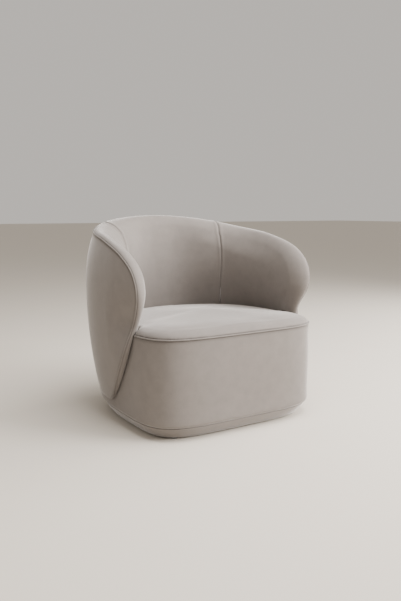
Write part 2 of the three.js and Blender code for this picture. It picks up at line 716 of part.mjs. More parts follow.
function seatEdge(theta) {
  const reach = baseRadius(theta);
  const y = PLAN_CENTRE_Y + reach * Math.sin(theta);
  const behind = smooth((y - SEAT_TURN_FRONT_Y) / (SEAT_TURN_REAR_Y - SEAT_TURN_FRONT_Y));
  return { behind, radius: mix(reach, Math.min(reach, innerRadius(theta, DECK_Z) - SEAT_FIT), behind) };
}
function seatLine(theta, inset, bottom) {
  const { behind, radius } = seatEdge(theta);
  const round = mix(SEAT_FRONT_ROUND, SEAT_REAR_ROUND, behind);
  const edgeZ = mix(SEAT_FRONT_Z, SEAT_REAR_Z, behind);
  const lip = DECK_Z + SEAT_LIP;
  const calm = innerRadius(theta, DECK_Z) - SEAT_FRONT_ROUND;
  const top = SEAT_SHARES.map((share) => {
    const reach = share * mix(Math.min(calm, radius - round), radius - round, share ** SEAT_CALM_POWER);
    return onPlan(theta, reach, mix(SEAT_CENTRE_Z, edgeZ, share ** SEAT_CROWN_POWER) - inset);
  });
  const side = range(SEAT_ROUND_STEPS).slice(1).map((u) => {
    const turn = (u * Math.PI) / 2;
    return onPlan(
      theta,
      radius - round + (round - inset) * Math.sin(turn),
      lip + (edgeZ - lip - inset) * Math.cos(turn),
    );
  });
  const tuck = onPlan(theta, radius - inset - SEAT_TUCK, bottom);
  return [onPlan(0, 0, SEAT_CENTRE_Z - inset), ...top, ...side, tuck];
}

function addSeat() {
  const padBottom = RAIL_TOP_Z + 2 * GAP + CLIP_PLATE + 2 * SPRING_WIRE + SPRING_ARCH + GAP;
  add("spring_pad", plateOf(CORE_INSET, padBottom, padBottom + PAD), "felt");
  add("seat_foam_core", plateOf(CORE_INSET, padBottom + PAD + GAP, DECK_Z), "foam");
  const angles = ringAround((theta) => seatEdge(theta).radius);
  const floorZ = DECK_Z + GAP;
  add(
    "seat_foam_pad",
    solidOf(
      angles.map((theta) => {
        const front = seatLine(theta, FABRIC + GAP, floorZ);
        const shares = front.map((point, k) => k / (front.length - 1));
        const { radius } = seatEdge(theta);
        const back = shares.map((share) => onPlan(theta, share * (radius - FABRIC - GAP - SEAT_TUCK), floorZ));
        return { front: front.slice(0, -1), back: back.filter((point, k) => k !== 1) };
      }),
      true,
    ),
    "foam",
  );
  add(
    "seat_cover",
    solidOf(
      angles.map((theta) => ({ front: seatLine(theta, 0, floorZ), back: seatLine(theta, FABRIC, floorZ) })),
      true,
    ),
    "velvet",
  );
  const welt = ringAngles
    .map((theta) => onPlan(theta, baseRadius(theta) + 3 * GAP, DECK_Z + SEAT_WELT_RISE))
    .filter(({ y }) => y < SEAT_WELT_END_Y);
  const start = welt.findIndex(({ x }, i) => i && x < welt[i - 1].x - BASE_HALF_WIDTH);
  const line = start < 0 ? welt : [...welt.slice(start), ...welt.slice(0, start)];
  add("seat_welt", wireAlong(line, WELT_RADIUS, () => new THREE.Vector3(0, 0, 1)), "velvet");
}

// Wrap covers, foams and welt share one row of stations, so that they nest without touching
const outlinePoint = (share) => inWrap(stationAt(share).theta, stationAt(share).z, 0);
const TIP_STATIONS = 7;
const ROLL_STATIONS = 3;
const ARM_STATIONS = 13;
const BACK_STATIONS = 12;
const SEAM_SLIT = GAP / OUTLINE_LENGTH;
const SEAM_STEP = 16;
const SEAM_SIDE = SEAM_STEP / OUTLINE_LENGTH;
const armShares = [
  ...spread(0, ROLL_SHARES[0], TIP_STATIONS, outlinePoint),
  ...spread(ROLL_SHARES[0], ROLL_SHARES[1], ROLL_STATIONS, outlinePoint).slice(1),
  ...spread(ROLL_SHARES[1], SEAM_SHARE - SEAM_SIDE, ARM_STATIONS, outlinePoint).slice(1),
  SEAM_SHARE - SEAM_SLIT,
];
const backShares = [
  SEAM_SHARE + SEAM_SLIT,
  ...spread(SEAM_SHARE + SEAM_SIDE, 1 - SEAM_SHARE - SEAM_SIDE, BACK_STATIONS, outlinePoint),
  1 - SEAM_SHARE - SEAM_SLIT,
];
const wrapShares = [...armShares, ...backShares, ...mirror(armShares)];
const layerAt = (share, front, back) => ({ front, back, mirrored: share > 0.5 });
const FOAM_START_Z = 165;
const panels = [["arm_right", armShares], ["back", backShares], ["arm_left", mirror(armShares)]];

function addWrapCovers() {
  panels.forEach(([name, shares]) => {
    const sheet = (share) => layerAt(share, rollPath(share, 0, true), rollPath(share, FABRIC, true));
    add(`inner_${name}_cover`, solidOf(shares.map(sheet)), "velvet");
    const filled = shares.filter((share) => stationAt(share).z > FOAM_START_Z);
    const pad = (share) => layerAt(share, rollPath(share, FABRIC + 2 * GAP, false), foamBack(share));
    add(`${name}_foam`, solidOf(filled.map(pad)), "foam");
    const outer = shares.map((share) => outerLayer(share, outerLine(share), 0, FABRIC));
    add(`outer_${name}_cover`, solidOf(outer), "velvet");
  });
  const weltLine = wrapShares.map((share) => inWrap(stationAt(share).theta, stationAt(share).z, WELT_DEPTH));
  const axis = ({ x, y }) => new THREE.Vector3(x, y - PLAN_CENTRE_Y, 0);
  add("wrap_welt", wireAlong(weltLine, WELT_RADIUS, axis), "velvet");
}

// Rows down the outer face under a station. The board behind the outer cover leaves out the first and the last.
const OUTER_ROW_SHARES = [0, 0.1, 0.23, 0.4, 0.6, 0.82, 1];
function outerLine(share) {
  const station = stationAt(share);
  const bottom = { theta: footAngle(share, TIP_FOOT_ANGLE, 0), z: WRAP_BOTTOM_Z };
  const shelf = past(station, -Math.min(RIM_FOAM + CLEAR, (station.z - WRAP_BOTTOM_Z) / 2 + GAP));
  return [past(station, -WELT_ROOM), ...OUTER_ROW_SHARES.map((row) => between(shelf, bottom, row))];
}
function outerLayer(share, line, depth, thickness) {
  const layer = (deep) => line.map(({ theta, z }) => inWrap(theta, z, deep));
  return layerAt(share, layer(depth), layer(depth + thickness));
}

// Frame of the wrap: a sole board on the base, a rim rail carried by six ribs and two arm struts, webbing across
// the back, a thin board behind the outer cover and a pad between that board and the side of the base
const HOOP_END_ANGLE = -3.5;
const HOOP_STEPS = 26;
const RAIL_START_Z = 468;
const RIM_RAIL = 16;
const RIB = 18;
const RIB_ANGLES = [6, 33, 68];
const RIB_STEPS = 4;
const STRUT_LOW_Z = 478;
const STRUT_HIGH_Z = 500;
const STRUT_FOOT_ANGLES = [-2.5, 1];
const STRAP_SHARES = [0.16, 0.58, 1];
const STRAP_HEIGHT = 50;
const STRAP_END_ANGLE = 30;
const STRAP_STEPS = 14;
const SKIN_START_Z = 262;
const SKIRT_BOTTOM_Z = 165;
const SKIRT_EDGE_ANGLES = [7, -5];
const SKIRT_STEPS = 26;
const SKIRT_ROWS = 3;
const RIB_FIT = CLEAR + WEBBING + GAP;

const frameOuter = ({ theta, z }) => onPlan(theta, wrapRadius(theta, z) - FRAME_DEPTH, z);
const frameInner = ({ theta, z }, fit) => onPlan(theta, foamLine({ theta, z }, 1) + fit, z);
const underRim = (share, drop) => past(stationAt(share), -(RIM_FOAM + CLEAR + drop));
// Just under the rim rail, which runs straight from station to station
function underRail(share) {
  const i = wrapShares.findIndex((station) => station > share);
  const [a, b] = [wrapShares[i - 1], wrapShares[i]];
  const [from, to] = [a, b].map((station) => underRim(station, RIM_RAIL + 2 * GAP));
  return between(from, to, (share - a) / (b - a));
}

// Upright board between two corners under the rim rail and two on the sole board
function uprightOf(topCorners, footCorners) {
  return solidOf(
    range(RIB_STEPS).map((u) => {
      const places = topCorners.map((corner, i) => between(corner, footCorners[i], u));
      return { front: places.map(frameOuter), back: places.map((place) => frameInner(place, RIB_FIT)) };
    }),
  );
}

function addWrapFrame() {
  const soleZ = DECK_Z + GAP;
  const sole = range(HOOP_STEPS).map((u) => {
    const theta = degrees(mix(HOOP_END_ANGLE, 180 - HOOP_END_ANGLE, u));
    const outer = wrapRadius(theta, soleZ) - FRAME_DEPTH;
    const inner = innerRadius(theta, soleZ) + FABRIC + CLEAR;
    const edge = (radius) => [onPlan(theta, radius, soleZ + BOARD), onPlan(theta, radius, soleZ)];
    return { front: edge(outer), back: edge(inner) };
  });
  add("wrap_sole_board", drilled(solidOf(sole), boltHoles()), "plywood");

  const railShares = wrapShares.filter((share) => stationAt(share).z > RAIL_START_Z);
  const rail = railShares.map((share) => {
    const places = [underRim(share, 0), underRim(share, RIM_RAIL)];
    return layerAt(share, places.map(frameOuter), places.map((place) => frameInner(place, CLEAR)));
  });
  add("rim_rail", solidOf(rail), "plywood");

  SIDES.forEach(([side, sign]) => {
    const shareOn = (share) => (sign > 0 ? share : 1 - share);
    RIB_ANGLES.forEach((angle, i) => {
      const share = shareWhere(({ theta, z }) => z > BELLY_Z && theta > degrees(angle));
      const top = [-1, 1].map((end) => underRail(shareOn(share + (end * RIB) / 2 / OUTLINE_LENGTH)));
      const foot = footAngle(share, ARM_FOOT_ANGLE, ROLL_SHARES[1]);
      const feet = [-1, 1].map((end) => {
        return { theta: sided(foot + (end * RIB) / 2 / MEAN_RADIUS, sign), z: SOLE_Z };
      });
      add(`wrap_rib_${side}_${i + 1}`, uprightOf(top, feet), "plywood");
    });
    const strutShares = [STRUT_LOW_Z, STRUT_HIGH_Z].map((height) => shareWhere(({ z }) => z > height));
    const top = strutShares.map((share) => underRail(shareOn(share)));
    const feet = STRUT_FOOT_ANGLES.map((angle) => ({ theta: sided(degrees(angle), sign), z: SOLE_Z }));
    add(`arm_strut_${side}`, uprightOf(top, feet), "plywood");
  });

  const strapEnd = shareWhere(({ z, theta }) => z > BELLY_Z && theta > degrees(STRAP_END_ANGLE));
  const strapRoom = underRail(strapEnd).z;
  STRAP_SHARES.forEach((level, i) => {
    const low = mix(SOLE_Z, strapRoom - CLEAR - STRAP_HEIGHT, level);
    const strap = range(STRAP_STEPS).map((u) => {
      const theta = degrees(mix(STRAP_END_ANGLE, 180 - STRAP_END_ANGLE, u));
      const places = [low + STRAP_HEIGHT, low].map((z) => ({ theta, z }));
      return {
        front: places.map((place) => frameInner(place, CLEAR + WEBBING)),
        back: places.map((place) => frameInner(place, CLEAR)),
      };
    });
    add(`back_webbing_${i + 1}`, solidOf(strap), "webbing");
  });

  const skinShares = wrapShares.filter((share) => stationAt(share).z > SKIN_START_Z);
  const skin = skinShares.map((share) => outerLayer(share, outerLine(share).slice(1, -1), SKIN_DEPTH, SKIN));
  add("outer_board", solidOf(skin), "fibreboard");

  const skirt = range(SKIRT_STEPS).map((u) => {
    const line = range(SKIRT_ROWS).map((down) => {
      const edge = degrees(mix(SKIRT_EDGE_ANGLES[1], SKIRT_EDGE_ANGLES[0], down));
      return { theta: mix(edge, Math.PI - edge, u), z: mix(DECK_Z - GAP, SKIRT_BOTTOM_Z, down) };
    });
    return {
      front: line.map(frameOuter),
      back: line.map(({ theta, z }) => onPlan(theta, baseRadius(theta) + 2 * CLEAR, z)),
    };
  });
  add("skirt_foam", solidOf(skirt), "foam");

  boltSpots.forEach(({ name, spot }) => add(name, boltShape(spot, 0), "steel"));
}

addPlinth();
addBase();
addSprings();
addSeat();
addWrapCovers();
addWrapFrame();

export default chair;
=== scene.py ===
import json
import math

import bpy
import numpy as np
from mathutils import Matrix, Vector


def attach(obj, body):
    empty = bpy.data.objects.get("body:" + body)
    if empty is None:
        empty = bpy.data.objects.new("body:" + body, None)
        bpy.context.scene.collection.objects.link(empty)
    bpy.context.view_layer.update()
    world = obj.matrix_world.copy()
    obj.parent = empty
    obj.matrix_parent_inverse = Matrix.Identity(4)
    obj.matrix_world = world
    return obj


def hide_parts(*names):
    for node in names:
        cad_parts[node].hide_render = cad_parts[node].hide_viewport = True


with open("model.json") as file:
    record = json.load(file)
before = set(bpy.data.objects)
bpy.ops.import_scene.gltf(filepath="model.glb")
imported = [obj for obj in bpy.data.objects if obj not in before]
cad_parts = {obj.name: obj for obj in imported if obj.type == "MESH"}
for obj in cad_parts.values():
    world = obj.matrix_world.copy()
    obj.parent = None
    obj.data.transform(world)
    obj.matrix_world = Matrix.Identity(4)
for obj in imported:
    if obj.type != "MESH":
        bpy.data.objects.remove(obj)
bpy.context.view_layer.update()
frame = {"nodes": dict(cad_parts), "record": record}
MM = 0.001

# Shape of the chair in millimetres: the CAD part's plans and heights, in places a few millimetres closer to
# the photo. A plan is a superellipse about (0, PLAN_CENTRE_Y) with a half width, a reach to the rear and to
# the front, and a squareness.
PLAN_CENTRE_Y = -77
BASE_WIDTH, BASE_REAR, BASE_FRONT = 376, 420, 315
BASE_SQUARE, REAR_SQUARE, ARM_SQUARE, INNER_SQUARE = 4.7, 2.7, 2.3, 2.3
WRAP_FRONT, ARM_TAPER, ARM_OVERHANG, BACK_OVERHANG, BACK_RAKE = 384, 64, 26, 84, 21
GLIDE, PLINTH = 6, 43
WRAP_BOTTOM, DECK, BELLY, RIM_TOP = 84, 366, 529, 779
GAP, CLEAR, BOARD, FABRIC, RIM_FOAM = 0.4, 2, 18, 2.5, 24

# Outer face of the wrap: it stands proud of the base, swells at the belly, leans in at the rim and is pinched
# beside the seat
PROUD, SWELL, SWELL_CURVE, LEAN = 5, 44, 2.2, 52
PINCH, PINCH_Z, PINCH_HEIGHT, PINCH_RUN = 27.5, 412, 72, 155
MEAN_RADIUS = BASE_WIDTH + PROUD + SWELL / 2

# Edge of the wrap from the low tip of the right arm to the middle of the rim: plan angle in degrees, and
# share of the height from WRAP_BOTTOM to RIM_TOP
OUTLINE = [
    (7.4, 0.012), (4.6, 0.03), (-8.6, 0.196), (-16.3, 0.337), (-20, 0.456), (-26.4, 0.615),
    (-23.8, 0.73), (-14.1, 0.815), (6.5, 0.882), (33.6, 0.928), (62, 0.981), (90, 1),
]
CURVE_STEPS = 160

# Rolled edge: its rise over the welt, its fall inside and where its crest lies, at the rim and at the tips
CROWN, FALL, CREST_SHARE = 10, 34, 0.3
TIP_CROWN, TIP_FALL, TIP_DEPTH = 3.5, 16, 10
ROLL_START, ROLL_RISE, TUCK, SOLE_TUCK = 6, 12, 25, 0.6
TUCK_TURN, TUCK_DROP = 130, 32
WELT_RADIUS, WELT_ROOM, WELT_PROUD, WELT_SIDES = 2.6, 2.4, 0.2, 12

# Plan angles in degrees of the seams at the rim, and of seams, outer tips and arm fronts at the foot
SEAM_RIM, SEAM_FOOT, TIP_FOOT, ARM_FOOT = 51.7, 44.5, 10, -6


def mix(a, b, t):
    return a + (b - a) * t


def between(value, start, end):
    """Share of the way from start to end."""
    return (value - start) / (end - start)


def smooth(t):
    t = np.clip(t, 0, 1)
    return t * t * (3 - 2 * t)


def plan_radius(theta, width, rear, front, rear_power, front_power):
    behind = np.sin(theta) >= 0
    power = np.where(behind, rear_power, front_power)
    depth = np.where(behind, rear, front)
    return (np.abs(np.cos(theta) / width) ** power + np.abs(np.sin(theta) / depth) ** power) ** (-1 / power)


def base_radius(theta, inset=0.0):
    return plan_radius(
        theta, BASE_WIDTH - inset, BASE_REAR - inset, BASE_FRONT - inset, REAR_SQUARE, BASE_SQUARE
    )


def swell(z):
    low = SWELL * (1 - np.clip(between(z, BELLY, WRAP_BOTTOM), 0, 1) ** SWELL_CURVE)
    high = SWELL - LEAN * between(z, BELLY, RIM_TOP) ** 2
    return np.where(z < BELLY, low, high)


def wrap_radius(theta, z):
    out = PROUD + swell(z)
    radius = plan_radius(
        theta, BASE_WIDTH + out, BASE_REAR + out, WRAP_FRONT + out, REAR_SQUARE, ARM_SQUARE
    )
    forward = smooth(-radius * np.sin(theta) / PINCH_RUN)
    return radius - PINCH * forward * np.exp(-(((z - PINCH_Z) / PINCH_HEIGHT) ** 2))


def inner_radius(theta, z):
    rake = BACK_RAKE * between(z, DECK, RIM_TOP)
    return plan_radius(
        theta, BASE_WIDTH - ARM_OVERHANG, BASE_REAR - BACK_OVERHANG + rake, WRAP_FRONT + ARM_TAPER,
        INNER_SQUARE, ARM_SQUARE,
    )


def inner_surface(theta, z, above):
    """Radius behind the roll: the base's face below the seat, the inner face of the wrap above it."""
    return mix(base_radius(theta) + CLEAR, inner_radius(theta, z), above)


def on_plan(theta, radius, z):
    theta, radius, z = np.broadcast_arrays(theta, radius, z)
    return np.stack([radius * np.cos(theta), PLAN_CENTRE_Y + radius * np.sin(theta), z], axis=-1)


# Outline of the wrap, unrolled: x is the plan angle times MEAN_RADIUS, z the height
def catmull_rom(points):
    """Centripetal Catmull-Rom curve through the points, as a dense row of points."""
    ends = [2 * points[0] - points[1], *points, 2 * points[-1] - points[-2]]
    rows = []
    for p0, p1, p2, p3 in zip(ends, ends[1:], ends[2:], ends[3:]):
        d0, d1, d2 = (max(np.sum((b - a) ** 2) ** 0.25, 1e-4) for a, b in ((p0, p1), (p1, p2), (p2, p3)))
        m1 = ((p1 - p0) / d0 - (p2 - p0) / (d0 + d1) + (p2 - p1) / d1) * d1
        m2 = ((p2 - p1) / d1 - (p3 - p1) / (d1 + d2) + (p3 - p2) / d2) * d1
        t = np.linspace(0, 1, CURVE_STEPS, endpoint=False)[:, None]
        rows.append(
            (2 * t**3 - 3 * t**2 + 1) * p1 + (t**3 - 2 * t**2 + t) * m1
            + (3 * t**2 - 2 * t**3) * p2 + (t**3 - t**2) * m2
        )
    rows.append(points[-1][None])
    return np.concatenate(rows)


RIGHT_HALF = [
    np.array([math.radians(angle) * MEAN_RADIUS, mix(WRAP_BOTTOM, RIM_TOP, share)])
    for angle, share in OUTLINE
]
LEFT_HALF = [np.array([math.pi * MEAN_RADIUS - x, z]) for x, z in RIGHT_HALF[-2::-1]]
CURVE = catmull_rom(RIGHT_HALF + LEFT_HALF)
LENGTHS = np.concatenate([[0], np.cumsum(np.linalg.norm(np.diff(CURVE, axis=0), axis=1))])
OUTLINE_LENGTH = LENGTHS[-1]
TANGENTS = np.gradient(CURVE, axis=0)
TANGENTS /= np.linalg.norm(TANGENTS, axis=1)[:, None]


def station(share):
    """Plan angle, height and unrolled outward direction at shares of the outline's length."""
    along = np.asarray(share) * OUTLINE_LENGTH
    x, z, tx, tz = (np.interp(along, LENGTHS, row) for row in (*CURVE.T, *TANGENTS.T))
    return x / MEAN_RADIUS, z, -tz, tx


def mirrored_station(share):
    """Stations that are exact mirror images about the middle of the rim."""
    theta, z, out_x, out_z = station(np.minimum(share, 1 - share))
    flip = share > 0.5
    return np.where(flip, math.pi - theta, theta), z, np.where(flip, -out_x, out_x), out_z


def past(spot, rise):
    """Plan angle and height at a distance outward from a station."""
    theta, z, out_x, out_z = spot
    return theta + rise * out_x / MEAN_RADIUS, z + rise * out_z


# Shares of the outline where the right seam crosses it, and where the roll of the right arm is full
HALF = np.linspace(0, 0.5, 4001)
HALF_THETA, HALF_Z, _, _ = station(HALF)
SEAM = HALF[np.argmax((HALF_Z > BELLY) & (HALF_THETA > math.radians(SEAM_RIM)))]
FULL_ROLL = HALF[np.argmax(HALF_Z > DECK + ROLL_START + ROLL_RISE)]


def foot_angle(share, end_angle, start):
    """Plan angle at the foot of a panel, below a share of the outline."""
    along = np.minimum(share, 1 - share)
    arm = np.clip(between(along, start, SEAM), 0, 1)
    rear = np.clip(between(along, SEAM, 0.5), 0, 1)
    angle = np.radians(mix(mix(end_angle, SEAM_FOOT, arm), 90, rear))
    return np.where(share > 0.5, math.pi - angle, angle)


# Materials: every finish is built from procedural nodes in object space, which is the frame in metres
class Nodes:
    def __init__(self, name, colour):
        self.material = bpy.data.materials.new(name)
        self.material.use_nodes = True
        self.material.diffuse_color = (*colour, 1)
        self.tree = self.material.node_tree
        self.shader = self.tree.nodes["Principled BSDF"]
        self.place = self.add("ShaderNodeTexCoord").outputs["Object"]

    def add(self, kind, **settings):
        node = self.tree.nodes.new(kind)
        for key, value in settings.items():
            setattr(node, key, value)
        return node

    def link(self, source, target):
        self.tree.links.new(source, target)

    def put(self, target, value):
        if isinstance(value, bpy.types.NodeSocket):
            self.link(value, target)
        else:
            target.default_value = value

    def stretched(self, scale):
        node = self.add("ShaderNodeMapping")
        node.inputs["Scale"].default_value = scale
        self.link(self.place, node.inputs["Vector"])
        return node.outputs["Vector"]

    def noise(self, scale, detail, roughness, vector=None):
        node = self.add("ShaderNodeTexNoise")
        node.inputs["Scale"].default_value = scale
        node.inputs["Detail"].default_value = detail
        node.inputs["Roughness"].default_value = roughness
        self.link(vector or self.place, node.inputs["Vector"])
        return node.outputs["Fac"]

    def wave(self, scale, distortion, axis, vector=None):
        node = self.add("ShaderNodeTexWave", bands_direction=axis)
        node.inputs["Scale"].default_value = scale
        node.inputs["Distortion"].default_value = distortion
        self.link(vector or self.place, node.inputs["Vector"])
        return node.outputs["Fac"]

    def ramp(self, fac, stops):
        node = self.add("ShaderNodeValToRGB")
        self.link(fac, node.inputs["Fac"])
        while len(node.color_ramp.elements) < len(stops):
            node.color_ramp.elements.new(0.5)
        for element, (position, colour) in zip(node.color_ramp.elements, stops):
            element.position = position
            element.color = (*colour, 1)
        return node.outputs["Color"]

    def math(self, operation, a, b):
        node = self.add("ShaderNodeMath", operation=operation)
        self.put(node.inputs[0], a)
        self.put(node.inputs[1], b)
        return node.outputs["Value"]

    def blend(self, fac, tone, colour):
        """The tone so far, turned to a plain colour by fac."""
        node = self.add("ShaderNodeMix", data_type="RGBA")
        self.put(node.inputs["Factor"], fac)
        self.put(node.inputs["A"], tone)
        self.put(node.inputs["B"], (*colour, 1))
        return node.outputs["Result"]

    def bump(self, height, strength, distance, normal=None):
        node = self.add("ShaderNodeBump")
        node.inputs["Strength"].default_value = strength
        node.inputs["Distance"].default_value = distance
        self.link(height, node.inputs["Height"])
        if normal:
            self.link(normal, node.inputs["Normal"])
        return node.outputs["Normal"]

    def finish(self, colour, roughness, normal=None, **shader):
        self.put(self.shader.inputs["Base Color"], colour)
        self.put(self.shader.inputs["Roughness"], roughness)
        if normal:
            self.link(normal, self.shader.inputs["Normal"])
        for key, value in shader.items():
            self.shader.inputs[key.replace("_", " ")].default_value = value
        return self.material


def shade(colour, factor):
    return tuple(channel * factor for channel in colour)


def velvet(name, colour):
    """Brushed nap with a pale sheen; the crease attribute paints shade into seams, edges and folds by
    darkening the colour.
    """
    n = Nodes(name, colour)
    brushed = n.noise(26, detail=4, roughness=0.62)
    mottle = n.noise(150, detail=3, roughness=0.6)
    fibre = n.noise(1500, detail=2, roughness=0.6)
    worn = n.noise(5.5, detail=2, roughness=0.5)
    tone = n.ramp(brushed, [(0.3, shade(colour, 0.92)), (0.5, colour), (0.7, shade(colour, 1.07))])
    tone = n.blend(n.math("MULTIPLY", mottle, 0.3), tone, shade(colour, 0.84))
    tone = n.blend(n.math("MULTIPLY", worn, 0.22), tone, shade(colour, 1.12))
    # Painted shade: the colour darkens towards 0.42 where the crease attribute marks seams, edges and folds
    painted_crease_shade = n.add("ShaderNodeAttribute", attribute_name="crease_shade").outputs["Fac"]
    tone = n.blend(painted_crease_shade, tone, shade(colour, 0.42))
    normal = n.bump(fibre, strength=0.35, distance=0.0006)
    normal = n.bump(mottle, strength=0.25, distance=0.0012, normal=normal)
    rough = n.math("ADD", n.math("MULTIPLY", brushed, 0.14), 0.78)
    return n.finish(
        tone, rough, normal, Sheen_Weight=1.0, Sheen_Roughness=0.3, Sheen_Tint=(1.0, 0.97, 0.95, 1),
        Specular_IOR_Level=0.12,
    )


def foam(name, colour):
    n = Nodes(name, colour)
    cells = n.noise(420, detail=3, roughness=0.7)
    tone = n.ramp(cells, [(0.35, shade(colour, 0.8)), (0.65, colour)])
    return n.finish(tone, 0.95, n.bump(cells, strength=0.4, distance=0.001), Specular_IOR_Level=0.1)


def wood(name, colour, grain, stretch):
    n = Nodes(name, colour)
    vector = n.stretched(stretch)
    rings = n.wave(grain, distortion=5.0, axis="Y", vector=vector)
    fine = n.noise(grain * 14, detail=4, roughness=0.6, vector=vector)
    tone = n.ramp(rings, [(0.2, shade(colour, 0.82)), (0.8, shade(colour, 1.05))])
    tone = n.blend(n.math("MULTIPLY", fine, 0.4), tone, shade(colour, 0.72))
    rough = n.math("ADD", n.math("MULTIPLY", fine, 0.2), 0.5)
    return n.finish(tone, rough, n.bump(fine, strength=0.2, distance=0.0006))


def woven(name, colour, scale):
    n = Nodes(name, colour)
    warp, weft = (n.wave(scale, distortion=0.4, axis=axis) for axis in "XZ")
    threads = n.math("MULTIPLY", warp, weft)
    dust = n.noise(30, detail=3, roughness=0.5)
    tone = n.ramp(threads, [(0.1, shade(colour, 0.6)), (0.7, shade(colour, 1.15))])
    tone = n.blend(n.math("MULTIPLY", dust, 0.25), tone, shade(colour, 1.4))
    return n.finish(tone, 0.9, n.bump(threads, strength=0.4, distance=0.0006), Specular_IOR_Level=0.15)


def steel(name, colour):
    n = Nodes(name, colour)
    drawn = n.noise(260, detail=4, roughness=0.6, vector=n.stretched((1, 8, 8)))
    tone = n.ramp(drawn, [(0.3, shade(colour, 0.75)), (0.7, shade(colour, 1.1))])
    rough = n.math("ADD", n.math("MULTIPLY", drawn, 0.25), 0.25)
    return n.finish(tone, rough, n.bump(drawn, strength=0.15, distance=0.0002), Metallic=1.0)


def plastic(name, colour):
    n = Nodes(name, colour)
    scuffs = n.noise(90, detail=5, roughness=0.7)
    tone = n.ramp(scuffs, [(0.35, shade(colour, 0.8)), (0.75, shade(colour, 1.6))])
    rough = n.math("ADD", n.math("MULTIPLY", scuffs, 0.3), 0.35)
    return n.finish(tone, rough, n.bump(scuffs, strength=0.1, distance=0.0004))


COLOURS = {entry["slot"]: tuple(entry["base_color"]) for entry in frame["record"]["materials"]}
VELVET = (0.20, 0.18, 0.166)
FINISHES = {
    "velvet": velvet("velvet", VELVET),
    "foam": foam("foam", COLOURS["foam"]),
    "plywood": wood("plywood", COLOURS["plywood"], 9, (1, 1, 6)),
    "timber": wood("timber", COLOURS["timber"], 14, (1, 0.2, 1)),
    "fibreboard": wood("fibreboard", COLOURS["fibreboard"], 40, (1, 1, 1)),
    "webbing": woven("webbing", COLOURS["webbing"], 260),
    "steel": steel("steel", COLOURS["steel"]),
    "plastic": plastic("plastic", COLOURS["plastic"]),
    "cambric": woven("cambric", COLOURS["cambric"], 420),
    "felt": foam("felt", COLOURS["felt"]),
}
for part in frame["record"]["subparts"]:
    node = frame["nodes"][part["node"]]
    node.data.materials.clear()
    node.data.materials.append(FINISHES[part["material_slot"]])
CLOTH = FINISHES["velvet"]


# Meshes
def set_crease_shade(mesh, crease_shade):
    """How much painted shade each point gets in seams, edges and folds, 0 to 1."""
    attribute = mesh.attributes.new("crease_shade", "FLOAT", "POINT")
    attribute.data.foreach_set("value", np.asarray(crease_shade, dtype=np.float32).ravel())


def add_object(name, vertices, faces, material, slot="velvet", crease_shade=None):
    """A mesh piece from points in mm; without a slot it isn't part of the chair."""
    mesh = bpy.data.meshes.new(name)
    mesh.from_pydata([tuple(v) for v in np.asarray(vertices) * MM], [], faces)
    mesh.update()
    if crease_shade is not None:
        set_crease_shade(mesh, crease_shade)
    mesh.polygons.foreach_set("use_smooth", [True] * len(mesh.polygons))
    piece = bpy.data.objects.new(name, mesh)
    bpy.context.scene.collection.objects.link(piece)
    piece.data.materials.append(material)
    if slot:
        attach(piece, "root")
    return piece


def face_out(piece):
    """Turn the faces of a closed form outward."""
    mesh = piece.data
    mesh.calc_loop_triangles()
    corners = np.array([mesh.vertices[i].co[:] for t in mesh.loop_triangles for i in t.vertices])
    corners = corners.reshape(-1, 3, 3)
    if np.einsum("ij,ij->i", corners[:, 0], np.cross(corners[:, 1], corners[:, 2])).sum() < 0:
        mesh.flip_normals()


def lofted(name, loops, closed=False, crease_shade=None):
    """Velvet form through a row of loops of points, (count, loop, 3); closed joins the last to the first."""
    count, loop, _ = loops.shape
    faces = []
    for i in range(count if closed else count - 1):
        here, there = i * loop, (i + 1) % count * loop
        for k in range(loop):
            after = (k + 1) % loop
            faces.append((here + k, here + after, there + after, there + k))
    if not closed:
        faces += [tuple(range(loop)), tuple(range((count - 1) * loop, count * loop))[::-1]]
    piece = add_object(name, loops.reshape(-1, 3), faces, CLOTH, crease_shade=crease_shade)
    face_out(piece)
    return piece


def panel(name, front, back, crease_shade):
    """Velvet form between front and back grids of (count, path, 3) points, with painted crease shade on the
    front only.
    """
    crease_shade = np.concatenate([crease_shade, np.zeros(back.shape[:2])], axis=1)
    return lofted(name, np.concatenate([front, back[:, ::-1]], axis=1), crease_shade=crease_shade)


def piping(name, line):
    """Welt cord along a line of points, in rings turned to the plan's outward direction."""
    along = np.gradient(line, axis=0)
    along /= np.linalg.norm(along, axis=1)[:, None]
    outward = np.stack([line[:, 0], line[:, 1] - PLAN_CENTRE_Y, np.zeros(len(line))], axis=1)
    across = outward - along * np.sum(outward * along, axis=1)[:, None]
    across /= np.linalg.norm(across, axis=1)[:, None]
    other = np.cross(along, across)
    turn = np.linspace(0, 2 * math.pi, WELT_SIDES, endpoint=False)[None, :, None]
    rings = line[:, None] + WELT_RADIUS * (np.cos(turn) * across[:, None] + np.sin(turn) * other[:, None])
    return lofted(name, rings)


def run_of(grid):
    """Length along each row of a grid of points, from its first point."""
    step = np.linalg.norm(np.diff(grid, axis=1), axis=-1)
    return np.concatenate([np.zeros((len(grid), 1)), np.cumsum(step, axis=1)], axis=1)


def gauss_falloff(distance, reach):
    """1 at no distance, fading over the reach."""
    return np.exp(-((distance / reach) ** 2))


SEAT_AIR = np.array([0.0, PLAN_CENTRE_Y, 640.0])


def inward_normals(grid):
    """Unit normals of a grid of points of the wrap, on the side of the air above the seat."""
    normal = np.cross(np.gradient(grid, axis=0), np.gradient(grid, axis=1))
    normal /= np.maximum(np.linalg.norm(normal, axis=-1, keepdims=True), 1e-9)
    return normal * np.sign(np.sum(normal * (SEAT_AIR - grid), axis=-1).mean())


# Base and plinth: rings of the base's plan, each with its profile from top to bottom and a thin hidden back
RING_COUNT, RING_FINE, CORNER_WEIGHT = 420, 4000, 160


